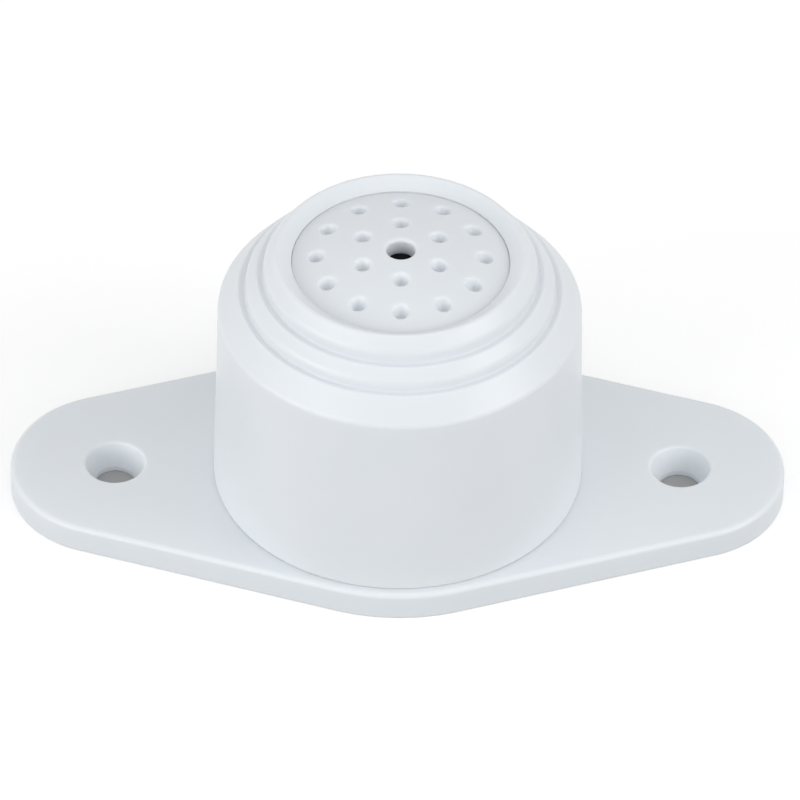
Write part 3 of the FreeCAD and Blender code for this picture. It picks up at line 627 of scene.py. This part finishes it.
@dataclass
class Housing:
    """Stepped round housing with its cable outlet, the bosses for the screws and two webs.

    The outside is a walk of moves from the foot: each has its run, its rise and the soft edge at
    its end.
    """

    foot_round: float = 0.2
    wall: Corner = Corner(-0.53, 21.4, 0.8)
    shoulder: Corner = Corner(-2.02, 2.42, 0.25)
    groove: Corner = Corner(-0.74, -0.15, 0.2)
    middle_riser: Corner = Corner(0.0, 1.07, 1.1)
    middle_slope: Corner = Corner(-1.12, 1.22, 0.25)
    crown_riser: Corner = Corner(0.0, 1.23, 1.1)
    crown_slope: Corner = Corner(-1.21, 1.55, 0.35)
    inner_bevel: Corner = Corner(-1.6, -1.05, 0.1)
    cap_seat: Corner = Corner(0.0, -1.95)
    ledge: Corner = Corner(-1.54, 0.0, 0.1)
    ledge_thickness: float = 1.5
    wall_thickness: float = 2.0
    inner_drop: float = 1.2
    inner_round: float = 0.6
    columns: int = 256
    window: int = 22
    outlet_flat: float = 4.4
    outlet_hole: float = 3.1
    outlet_round: float = 0.06
    outlet_margin: float = 0.2
    inner_flat: float = 4.3
    screw_place: float = 12.58
    case_boss: float = 2.9
    case_pilot: Corner = Corner(1.29, 12.9)
    board_place: float = 12.2
    board_boss: float = 2.3
    board_pilot: Corner = Corner(0.99, 26.29)
    boss_root: float = 0.3
    boss_round: float = 0.1
    boss_columns: int = 48
    tolerance: float = 0.001
    web: Triple = (17.47, 1.2, 5.1)

    def __post_init__(self) -> None:
        """Take the housing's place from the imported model, and the outlet's from the grommet."""
        low, high = node_box("body_shell")
        self.bottom, self.foot = low[2], high[0]
        grommet = node_box("cable_grommet")
        self.outlet_up = grommet[:, 2].mean()
        self.shoulder_up = self.bottom + self.wall.up
        self.roof = 0.0

    def outer_radius(self, up: np.ndarray) -> np.ndarray:
        """Give the outer wall's radius at a height: the foot's, less the draft's share."""
        return self.foot + self.wall.across * (up - self.bottom) / self.wall.up

    def inner_radius(self, up: np.ndarray) -> np.ndarray:
        """Give the inner wall's radius at a height, on its own straight line."""
        rise = self.wall.up - self.inner_drop
        return self.foot - self.wall_thickness + self.wall.across * (up - self.bottom) / rise

    def profile(self) -> np.ndarray:
        """Give the closed section: up the outside, over the steps, and down the inside.

        Returns:
            Rows of distance from the axis and height.
        """
        half = self.outer_radius(self.outlet_up) * math.sin(self.window / 2 * TURN / self.columns)
        rows = self.outlet_up + np.linspace(-half, half, self.window + 1)
        corners = [Corner(self.foot, self.bottom, self.foot_round)]
        corners += [Corner(self.outer_radius(up), up) for up in rows]
        across, up = self.foot, self.bottom
        for move in (self.wall, self.shoulder, self.groove, self.middle_riser, self.middle_slope,
                     self.groove, self.crown_riser, self.crown_slope, self.inner_bevel, self.cap_seat,
                     self.ledge):
            across, up = across + move.across, up + move.up
            corners.append(Corner(across, up, move.radius))
        self.roof = up - self.ledge_thickness
        inner_end = self.shoulder_up - self.inner_drop
        wall_end = self.inner_radius(inner_end)
        slope = -self.shoulder.across / self.shoulder.up
        corners += [
            Corner(across, self.roof),
            Corner(wall_end - slope * (self.roof - inner_end), self.roof, self.inner_round),
            Corner(wall_end, inner_end, self.inner_round),
        ]
        corners += [Corner(self.inner_radius(up), up) for up in rows[::-1]]
        corners.append(Corner(self.foot - self.wall_thickness, self.bottom))
        return soften(corners, closed=True)

    def outlet(self, outer: np.ndarray, inner: np.ndarray) -> np.ndarray:
        """Give the outlet's surface, from the opening left in the outer wall to that in the inner.

        Every loop has a point for each point of the openings' borders, at the same angle about the
        outlet's axis. On a wall, a point's depth is the root of the wall's radius squared less its
        side distance squared.

        Args:
            outer: border of the opening in the outer wall.
            inner: border of the opening in the inner wall.

        Returns:
            A grid of loops.
        """
        angles = np.arctan2(outer[:, 2] - self.outlet_up, outer[:, 0])
        side, rise = np.cos(angles), np.sin(angles)
        flange_back, tail_back = node_box("cable_grommet")[::-1, 1]
        outer_flat = flange_back - Grommet.flange_thickness
        inner_flat = tail_back + Grommet.tail_thickness

        def loop(radius: float, depth: np.ndarray | float) -> np.ndarray:
            """Give a circle about the outlet's axis with its depth."""
            up = self.outlet_up + radius * rise
            return np.column_stack([radius * side, np.broadcast_to(depth, len(up)), up])

        def wall(radius: float, radius_at: Callable[[np.ndarray], np.ndarray]) -> np.ndarray:
            """Give the depth of a wall's surface on such a circle."""
            return np.sqrt(radius_at(self.outlet_up + radius * rise) ** 2 - (radius * side) ** 2)

        around = self.outlet_flat + self.outlet_margin
        edge = self.outlet_flat + self.outlet_round
        mouth = wall(self.outlet_flat, self.outer_radius)
        return np.stack([
            outer,
            loop(around, wall(around, self.outer_radius)),
            loop(edge, wall(edge, self.outer_radius)),
            loop(self.outlet_flat, np.maximum(mouth - self.outlet_round, outer_flat)),
            loop(self.outlet_flat, outer_flat),
            loop(self.outlet_hole, outer_flat),
            loop(self.outlet_hole, inner_flat),
            loop(self.inner_flat, inner_flat),
            loop(self.inner_flat, wall(self.inner_flat, self.inner_radius)),
            inner,
        ])

    def boss(self, place: tuple[float, float], radius: float, bottom: float, pilot: Corner) -> np.ndarray:
        """Give a boss under the roof with its pilot hole, turned about its own axis.

        Args:
            place: place of its axis.
            radius: its outer radius.
            bottom: height of its lower end.
            pilot: radius of the pilot hole and the height that it ends at.

        Returns:
            A grid of loops.
        """
        top = self.roof + self.boss_root
        section = soften([
            Corner(0.0, pilot.up), Corner(pilot.across, pilot.up), Corner(pilot.across, bottom),
            Corner(radius, bottom, self.boss_round), Corner(radius, top), Corner(0.0, top),
        ])
        return revolve(section, self.boss_columns, place)

    def build(self) -> bpy.types.Object:
        """Make the housing: the turned section with a window at the back, the outlet and the bosses.

        Returns:
            The housing.
        """
        profile = self.profile()
        grid = revolve(profile, self.columns)
        half = self.window // 2
        back = self.columns // 4
        reach = self.outer_radius(self.outlet_up) * math.sin(half * TURN / self.columns)
        in_window = np.abs(profile[:, 1] - self.outlet_up) < reach + self.tolerance
        hole_rows = in_window & np.roll(in_window, -1)
        hole_columns = np.zeros(self.columns, dtype=bool)
        hole_columns[back - half:back + half] = True
        rows = np.flatnonzero(in_window)
        columns = np.arange(back - half, back + half + 1)
        outer = grid[rows[:self.window + 1]][:, columns]
        inner = grid[rows[self.window + 1:][::-1]][:, columns]

        shell = Shell()
        shell.add_grid(grid, round_rows=True, keep=~(hole_rows[:, None] & hole_columns))
        shell.add_grid(self.outlet(border(outer), border(inner)))
        for side in (-1, 1):
            place = (side * self.screw_place, 0.0)
            shell.add_grid(self.boss(place, self.case_boss, self.bottom, self.case_pilot))
            board_top = node_box("circuit_board")[1][2]
            place = (0.0, side * self.board_place)
            shell.add_grid(self.boss(place, self.board_boss, board_top, self.board_pilot))
            web_end, web_width, web_bottom = self.web
            shell.add_block(
                (side * self.screw_place, -web_width / 2, web_bottom),
                (side * web_end, web_width / 2, self.shoulder_up - self.inner_drop),
            )
        return shell.make("stepped_housing", WHITE_PLASTIC.material())


@dataclass
class Cap:
    """Dimpled cap: a shallow dome with a sound hole, eighteen blind dimples, a skirt and a socket."""

    ledge_lift: float = 3.3
    edge_height: float = 1.77
    dome_radius: float = 35.0
    edge_round: float = 0.15
    underside: float = 1.0
    skirt: float = 1.4
    skirt_round: float = 0.1
    sound_hole: float = 1.45
    sound_hole_round: float = 0.35
    socket_inner: float = 5.55
    socket_outer: float = 6.55
    socket_reach: float = 5.0
    socket_round: float = 0.15
    dimple_mouth: float = 0.9
    dimple_floor: float = 0.3
    dimple_depth: float = 1.1
    mouth_round: float = 0.35
    floor_round: float = 0.4
    dimple_collar: float = 1.3
    outer_circle: float = 8.48
    inner_circle: float = 4.42
    outer_count: int = 12
    inner_count: int = 6
    bands: Triple = (2.4, 6.4, 10.2)
    columns: int = 192
    side_points: int = 12
    rings: int = 8

    def __post_init__(self) -> None:
        """Take the cap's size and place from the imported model."""
        low, high = node_box("dimpled_cap")
        self.radius, self.bottom = high[0], low[2]
        self.ledge = self.bottom + self.ledge_lift

    def dome(self, distance: np.ndarray | float) -> np.ndarray:
        """Give the dome's height at a distance from the axis.

        It is the height of the edge plus the sphere's drop from here to there: the root of the
        sphere's radius squared less the distance squared, less the same root at the edge.

        Args:
            distance: one distance or several.

        Returns:
            The height of each.
        """
        edge = math.sqrt(self.dome_radius ** 2 - self.radius ** 2)
        height = self.ledge + self.edge_height - edge
        return height + np.sqrt(self.dome_radius ** 2 - np.square(distance))

    def patch(self, near: float, far: float, circle_radius: float, angle: float, count: int) -> np.ndarray:
        """Give the surface of one sector of the dome with its dimple.

        The sector's border shrinks to a circle round the dimple, and every point of that stretch
        lies on the dome. The dimple's section then turns about an upright axis: its mouth follows
        the dome, and its floor is level.

        Args:
            near: inner radius of the sector.
            far: outer radius of the sector.
            circle_radius: distance of the dimple from the cap's axis.
            angle: direction of the dimple.
            count: sectors in this ring.

        Returns:
            A grid of loops.
        """
        steps = self.columns // count
        sweep = angle + np.linspace(-0.5, 0.5, steps + 1) * TURN / count
        reach = np.linspace(far, near, self.side_points + 1)
        distance = np.concatenate([
            np.full(steps, far), reach[:-1], np.full(steps, near), reach[:0:-1]])
        turn = np.concatenate([
            sweep[:-1], np.full(self.side_points, sweep[-1]), sweep[:0:-1],
            np.full(self.side_points, sweep[0])])
        limit = np.stack([distance * np.cos(turn), distance * np.sin(turn)], axis=1)
        centre = circle_radius * np.array([math.cos(angle), math.sin(angle)])
        away = limit - centre
        away /= np.linalg.norm(away, axis=1)[:, None]
        collar = centre + self.dimple_collar * away
        share = np.linspace(0.0, 1.0, self.rings + 1)[:-1, None, None]
        flat = limit * (1 - share) + collar * share
        skin = np.dstack([flat, self.dome(np.linalg.norm(flat, axis=2))])

        section = soften([
            Corner(self.dimple_collar, 0.0), Corner(self.dimple_mouth, 0.0, self.mouth_round),
            Corner(self.dimple_floor, -self.dimple_depth, self.floor_round),
            Corner(0.0, -self.dimple_depth),
        ])
        plan = centre + section[:, :1, None] * away
        depth = section[:, 1:]
        level = -depth / self.dimple_depth
        height = self.dome(np.linalg.norm(plan, axis=2)) * (1 - level) + self.dome(circle_radius) * level
        return np.vstack([skin, np.dstack([plan, height + depth])])

    def build(self) -> bpy.types.Object:
        """Make the cap: the dimpled sectors, and the turned rest of its section.

        Returns:
            The cap.
        """
        shell = Shell()
        near, middle, far = self.bands
        for band, circle_radius, count in (
            ((middle, far), self.outer_circle, self.outer_count),
            ((near, middle), self.inner_circle, self.inner_count),
        ):
            for index in range(count):
                angle = TURN / 4 + index * TURN / count
                shell.add_grid(self.patch(*band, circle_radius, angle, count))

        seat = self.bottom + self.socket_reach
        ceiling = self.ledge + self.underside
        section = soften([
            Corner(far, self.dome(far)), Corner(self.radius, self.dome(self.radius), self.edge_round),
            Corner(self.radius, self.ledge, self.skirt_round),
            Corner(self.radius - self.skirt, self.ledge, self.skirt_round),
            Corner(self.radius - self.skirt, ceiling), Corner(self.socket_outer, ceiling),
            Corner(self.socket_outer, self.bottom, self.socket_round),
            Corner(self.socket_inner, self.bottom, self.socket_round),
            Corner(self.socket_inner, seat), Corner(self.sound_hole, seat),
            Corner(self.sound_hole, self.dome(self.sound_hole), self.sound_hole_round),
            Corner(near, self.dome(near)),
        ])
        shell.add_grid(revolve(section, self.columns))
        return shell.make("dimpled_cover", WHITE_PLASTIC.material())


@dataclass
class Grommet:
    """Rubber grommet in the cable outlet: a flange outside, a neck in the hole and a tail inside."""

    flange_thickness: float = 1.1
    tail_thickness: float = 1.0
    bore: float = 2.1
    neck: float = 3.05
    tail: float = 3.9
    edge_round: float = 0.4
    mouth_round: float = 0.3
    tail_round: float = 0.15
    columns: int = 96

    def build(self) -> bpy.types.Object:
        """Make the grommet: its closed section turned about the outlet's axis.

        Returns:
            The grommet.
        """
        low, high = node_box("cable_grommet")
        flange = (high[2] - low[2]) / 2
        inner_face = low[1] + self.tail_thickness
        outer_face = high[1] - self.flange_thickness
        section = soften([
            Corner(self.bore, low[1], self.tail_round), Corner(self.tail, low[1], self.edge_round),
            Corner(self.tail, inner_face), Corner(self.neck, inner_face),
            Corner(self.neck, outer_face), Corner(flange, outer_face),
            Corner(flange, high[1], self.edge_round), Corner(self.bore, high[1], self.mouth_round),
        ], closed=True)
        shell = Shell()
        grid = revolve(section, self.columns, (0.0, (low[2] + high[2]) / 2), Axis.BACK)
        shell.add_grid(grid, round_rows=True)
        return shell.make("rubber_grommet", GROMMET_RUBBER.material())


@dataclass
class ScrewPair:
    """Two pan-head self-tapping screws that point up, each with a tapered cross recess and a thread."""

    name: str
    node: str
    head_height: float
    shank: float
    pitch: float
    head_flat: float = 0.62
    head_side: float = 0.45
    head_round: float = 0.35
    cross_reach: float = 0.5
    cross_half_width: float = 0.13
    cross_depth: float = 0.6
    cross_taper: float = 0.7
    cross_margin: float = 0.05
    cross_cone: float = 0.1
    arm_points: int = 3
    gap_points: int = 5
    seat_round: float = 0.08
    core: float = 0.76
    crest_width: float = 0.35
    tip: float = 1.6
    rows_per_turn: int = 10

    def __post_init__(self) -> None:
        """Take the screws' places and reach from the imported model."""
        low, high = node_box(self.node)
        self.bottom, self.top = low[2], high[2]
        self.radius = min(high[:2])
        self.place = max(high[:2]) - self.radius
        self.apart = int(high[1] > high[0])

    def angles(self) -> np.ndarray:
        """Give the columns' angles: close together round each corner of the cross.

        Returns:
            The angles of one turn.
        """
        corner = math.atan(self.cross_half_width / self.cross_reach)
        eighth = np.concatenate([
            np.linspace(0.0, corner, self.arm_points + 1)[:-1],
            np.linspace(corner, TURN / 8, self.gap_points + 1)[:-1],
        ])
        quarter = np.concatenate([eighth, [TURN / 8], TURN / 4 - eighth[:0:-1]])
        return np.concatenate([quarter + turn * TURN / 4 for turn in range(4)])

    def cross(self, angles: np.ndarray) -> np.ndarray:
        """Give the cross's reach at each angle.

        Away from its nearest arm, the reach is the smaller of the arm's length over the cosine and
        the arm's half width over the sine.

        Args:
            angles: the columns' angles.

        Returns:
            The reach in each column.
        """
        lean = np.abs((angles + TURN / 8) % (TURN / 4) - TURN / 8)
        with np.errstate(divide="ignore"):
            side = self.cross_half_width / np.sin(lean)
        return self.radius * np.minimum(self.cross_reach / np.cos(lean), side)

    def thread(self, angles: np.ndarray) -> tuple[np.ndarray, np.ndarray]:
        """Give the thread's radius and height, a row for each step along the shank.

        The ridge is a triangle wave of the height over the pitch less the share of the turn, and
        the radius runs out to nothing at the tip.

        Args:
            angles: the columns' angles.

        Returns:
            Two grids of steps by columns.
        """
        start = self.bottom + self.head_height
        steps = math.ceil((self.top - start) / self.pitch * self.rows_per_turn)
        height = np.linspace(start, self.top, steps + 1)[:, None]
        phase = (height / self.pitch - angles / TURN) % 1.0
        ridge = np.clip(1.0 - np.abs(phase - 0.5) / self.crest_width, 0.0, 1.0)
        radius = self.shank * (self.core + (1.0 - self.core) * ridge)
        taper = np.sqrt(np.clip((self.top - height) / self.tip, 0.0, 1.0))
        return radius * taper, np.broadcast_to(height, radius.shape)

    def build(self) -> bpy.types.Object:
        """Make both screws: loops from the middle of the cross, over the head and along the thread.

        Returns:
            The two screws as one object.
        """
        angles = self.angles()
        mouth = self.cross(angles)
        depth = self.bottom + self.cross_depth * self.head_height
        seat = self.bottom + self.head_height
        head = soften([
            Corner(self.radius * (self.cross_reach + self.cross_margin), self.bottom),
            Corner(self.radius * self.head_flat, self.bottom, self.head_round),
            Corner(self.radius, self.bottom + self.head_side * self.head_height, self.head_round),
            Corner(self.radius, seat, self.seat_round), Corner(self.shank, seat),
        ])
        thread_radius, thread_height = self.thread(angles)
        level = np.ones(len(angles))
        radius = np.vstack([
            0 * mouth, self.cross_taper * mouth, mouth, head[:, :1] * level, thread_radius,
        ])
        height = np.vstack([
            (depth + self.cross_cone) * level, depth * level, self.bottom * level, head[:, 1:] * level,
            thread_height,
        ])
        shell = Shell()
        for side in (-1, 1):
            centre = [0.0, 0.0]
            centre[self.apart] = side * self.place
            shell.add_grid(np.dstack([
                centre[0] + radius * np.cos(angles), centre[1] + radius * np.sin(angles), height]))
        return shell.make(self.name, SCREW_STEEL.material())


@dataclass(frozen=True)
class Softbox:
    """A square lamp that faces the object."""

    name: str
    place: Triple
    size: float
    power: float


@dataclass
class Floor:
    """White floor, open where the plate covers it, with a disc below each screw hole that carries painted
    shade.
    """

    size: float = 4000.0
    shade: float = 0.45
    seen_shade: float = 0.95
    glow: float = 0.22
    # inner and outer radius of the edge of the shade painted about each screw hole
    painted_shade_edge: tuple[float, float] = (2.3, 2.8)
    opening_inset: float = 0.15
    disc_radius: float = 2.25
    disc_points: int = 32

    def build(self, plate: Plate) -> None:
        """Make the floor: the stretch round the plate's outline, and the two discs.

        Args:
            plate: the plate that stands on it.
        """
        shell = Shell()
        rim = np.array([(1, 0), (1, 1), (-1, 1), (-1, 0), (-1, -1), (1, -1)]) * self.size / 2
        opening = plate.outline(self.opening_inset, 0.0)
        shell.add_halves(np.column_stack([rim, 0 * rim[:, 0]]), [opening])
        turn = np.arange(self.disc_points) * TURN / self.disc_points
        for side in (-1, 1):
            disc = self.disc_radius * np.stack([np.cos(turn), np.sin(turn), 0 * turn], axis=1)
            disc[:, 0] += side * plate.hole_place
            shell.faces.append(shell.add_points(disc).tolist())
        shell.make("floor", self.material(plate.hole_place))

    def painted_hole_shade(self, nodes: Nodes, hole_place: float) -> Socket:
        """Make the floor dim for light that it gives back, and paint shade on it below a screw hole where
        it is seen.

        The place is folded onto the right half by its absolute value, and its distance to the hole's
        place runs from 0 to 1 over the edge of the disc of painted shade.

        Args:
            nodes: the floor's nodes.
            hole_place: distance of a screw hole from the middle.

        Returns:
            1 where the floor is seen and unshaded, and 0 where shade is painted below a hole or for light
            that it gives back.
        """
        inner, outer = self.painted_shade_edge
        place = nodes.add("TexCoord").outputs["Object"]
        folded = nodes.add("VectorMath", {0: place}, "ABSOLUTE").outputs["Vector"]
        hole = (hole_place * MM, 0.0, 0.0)
        distance = nodes.add("VectorMath", {0: folded, 1: hole}, "DISTANCE").outputs["Value"]
        return nodes.add("MapRange", {
            "Value": distance, "From Min": inner * MM, "From Max": outer * MM, "To Max": nodes.seen(),
        }).outputs["Result"]

    def material(self, hole_place: float) -> bpy.types.Material:
        """Make the floor's surface: matt with a weak glow where it is seen, painted shade below each screw
        hole, and clear from below.

        Args:
            hole_place: distance of a screw hole from the middle.

        Returns:
            The material.
        """
        material = bpy.data.materials.new("floor_paper")
        material.use_nodes = True
        nodes = Nodes(material.node_tree)
        nodes.tree.nodes.clear()
        # painted shade: seen below a screw hole, the floor takes the dim shade and no glow
        unshaded = self.painted_hole_shade(nodes, hole_place)
        shade = nodes.add("MapRange", {"Value": unshaded, "To Min": self.shade, "To Max": self.seen_shade})
        strength = nodes.add("Math", {0: unshaded, 1: self.glow}, "MULTIPLY")
        matt = nodes.add("BsdfDiffuse", {"Color": shade.outputs["Result"]})
        glow = nodes.add("Emission", {"Strength": strength.outputs["Value"]})
        paper = nodes.add("AddShader", {0: matt.outputs["BSDF"], 1: glow.outputs["Emission"]})
        below = nodes.add("NewGeometry").outputs["Backfacing"]
        clear = nodes.add("BsdfTransparent")
        mix = nodes.add("MixShader", {
            "Fac": below, 1: paper.outputs["Shader"], 2: clear.outputs["BSDF"]})
        nodes.add("OutputMaterial", {"Surface": mix.outputs["Shader"]})
        return material


@dataclass
class Studio:
    """Lamps, world and camera round the floor. Places are metres."""

    lamps: tuple[Softbox, ...] = (
        Softbox("softbox_left", (-1.117, -0.406, 0.167), 0.6, 3.0),
        Softbox("softbox_right", (0.977, -0.355, 0.6), 0.6, 2.8),
        Softbox("reflector_left", (-0.22, -0.22, 0.12), 0.2, 0.225),
        Softbox("reflector_right", (0.22, -0.22, 0.12), 0.2, 0.138),
        Softbox("reflector_high", (0.0, -0.1, 0.32), 0.2, 0.054),
    )
    ambient: float = 0.63
    camera_place: Triple = (-0.00567, -0.5508, 0.4963)
    camera_target: Triple = (0.00014, 0.0, 0.01195)
    lens: float = 322.0
    roll: float = 0.85

    def build(self) -> None:
        """Set up the light and the camera."""
        bpy.context.scene.view_settings.view_transform = "Standard"
        self.make_world()
        for lamp in self.lamps:
            self.make_lamp(lamp)
        self.make_camera()

    def make_lamp(self, lamp: Softbox) -> None:
        """Add one square lamp, turned towards the object.

        Args:
            lamp: its name, place, size and power.
        """
        light = bpy.data.lights.new(lamp.name, "AREA")
        light.size = lamp.size
        light.energy = lamp.power
        holder = bpy.data.objects.new(lamp.name, light)
        holder.location = lamp.place
        holder.rotation_euler = (-Vector(lamp.place)).to_track_quat("-Z", "Y").to_euler()
        bpy.context.scene.collection.objects.link(holder)

    def make_world(self) -> None:
        """Make the world white where it is seen or mirrored, and a plain pale light elsewhere."""
        world = bpy.data.worlds.new("studio")
        bpy.context.scene.world = world
        world.use_nodes = True
        nodes = Nodes(world.node_tree)
        strength = nodes.add("MapRange", {"Value": nodes.seen(), "To Min": self.ambient, "To Max": 1.0})
        nodes.fill(world.node_tree.nodes["Background"], {
            "Color": (1.0, 1.0, 1.0, 1.0), "Strength": strength.outputs["Result"]})

    def make_camera(self) -> None:
        """Place the camera at the photograph's angle, with its slight roll."""
        data = bpy.data.cameras.new("camera")
        data.lens = self.lens
        camera = bpy.data.objects.new("camera", data)
        place = Vector(self.camera_place)
        aim = (Vector(self.camera_target) - place).to_track_quat("-Z", "Y").to_matrix()
        turn = Matrix.Rotation(math.radians(self.roll), 3, "Z")
        camera.matrix_world = Matrix.LocRotScale(place, (aim @ turn).to_quaternion(), None)
        bpy.context.scene.collection.objects.link(camera)
        bpy.context.scene.camera = camera


def dress_nodes() -> None:
    """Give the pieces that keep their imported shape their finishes."""
    for finish, names in NODE_FINISHES.items():
        for name in names:
            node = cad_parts[name]
            for place in node.material_slots:
                place.material = finish.material()
            LOG.info("finish %s on %s", finish.name, name)


def main() -> None:
    """Build the pieces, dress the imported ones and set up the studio."""
    logging.basicConfig(level=logging.INFO, format="%(name)s: %(message)s")
    plate = Plate()
    for maker, node, slot in (
        (plate, "base_plate", "white_plastic"),
        (Housing(), "body_shell", "white_plastic"),
        (Cap(), "dimpled_cap", "white_plastic"),
        (Grommet(), "cable_grommet", "grommet_rubber"),
        (ScrewPair("plate_screws", "case_screws", head_height=1.6, shank=1.25, pitch=1.0),
         "case_screws", "screw_steel"),
        (ScrewPair("board_fixing_screws", "board_screws", head_height=1.3, shank=0.95, pitch=0.8),
         "board_screws", "screw_steel"),
    ):
        piece = maker.build()
        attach(piece, BODY)
        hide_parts(node)
        LOG.info("%s replaces %s with %d faces", piece.name, node, len(piece.data.polygons))
    dress_nodes()
    Floor().build(plate)
    Studio().build()


if __name__ == "__main__":
    main()
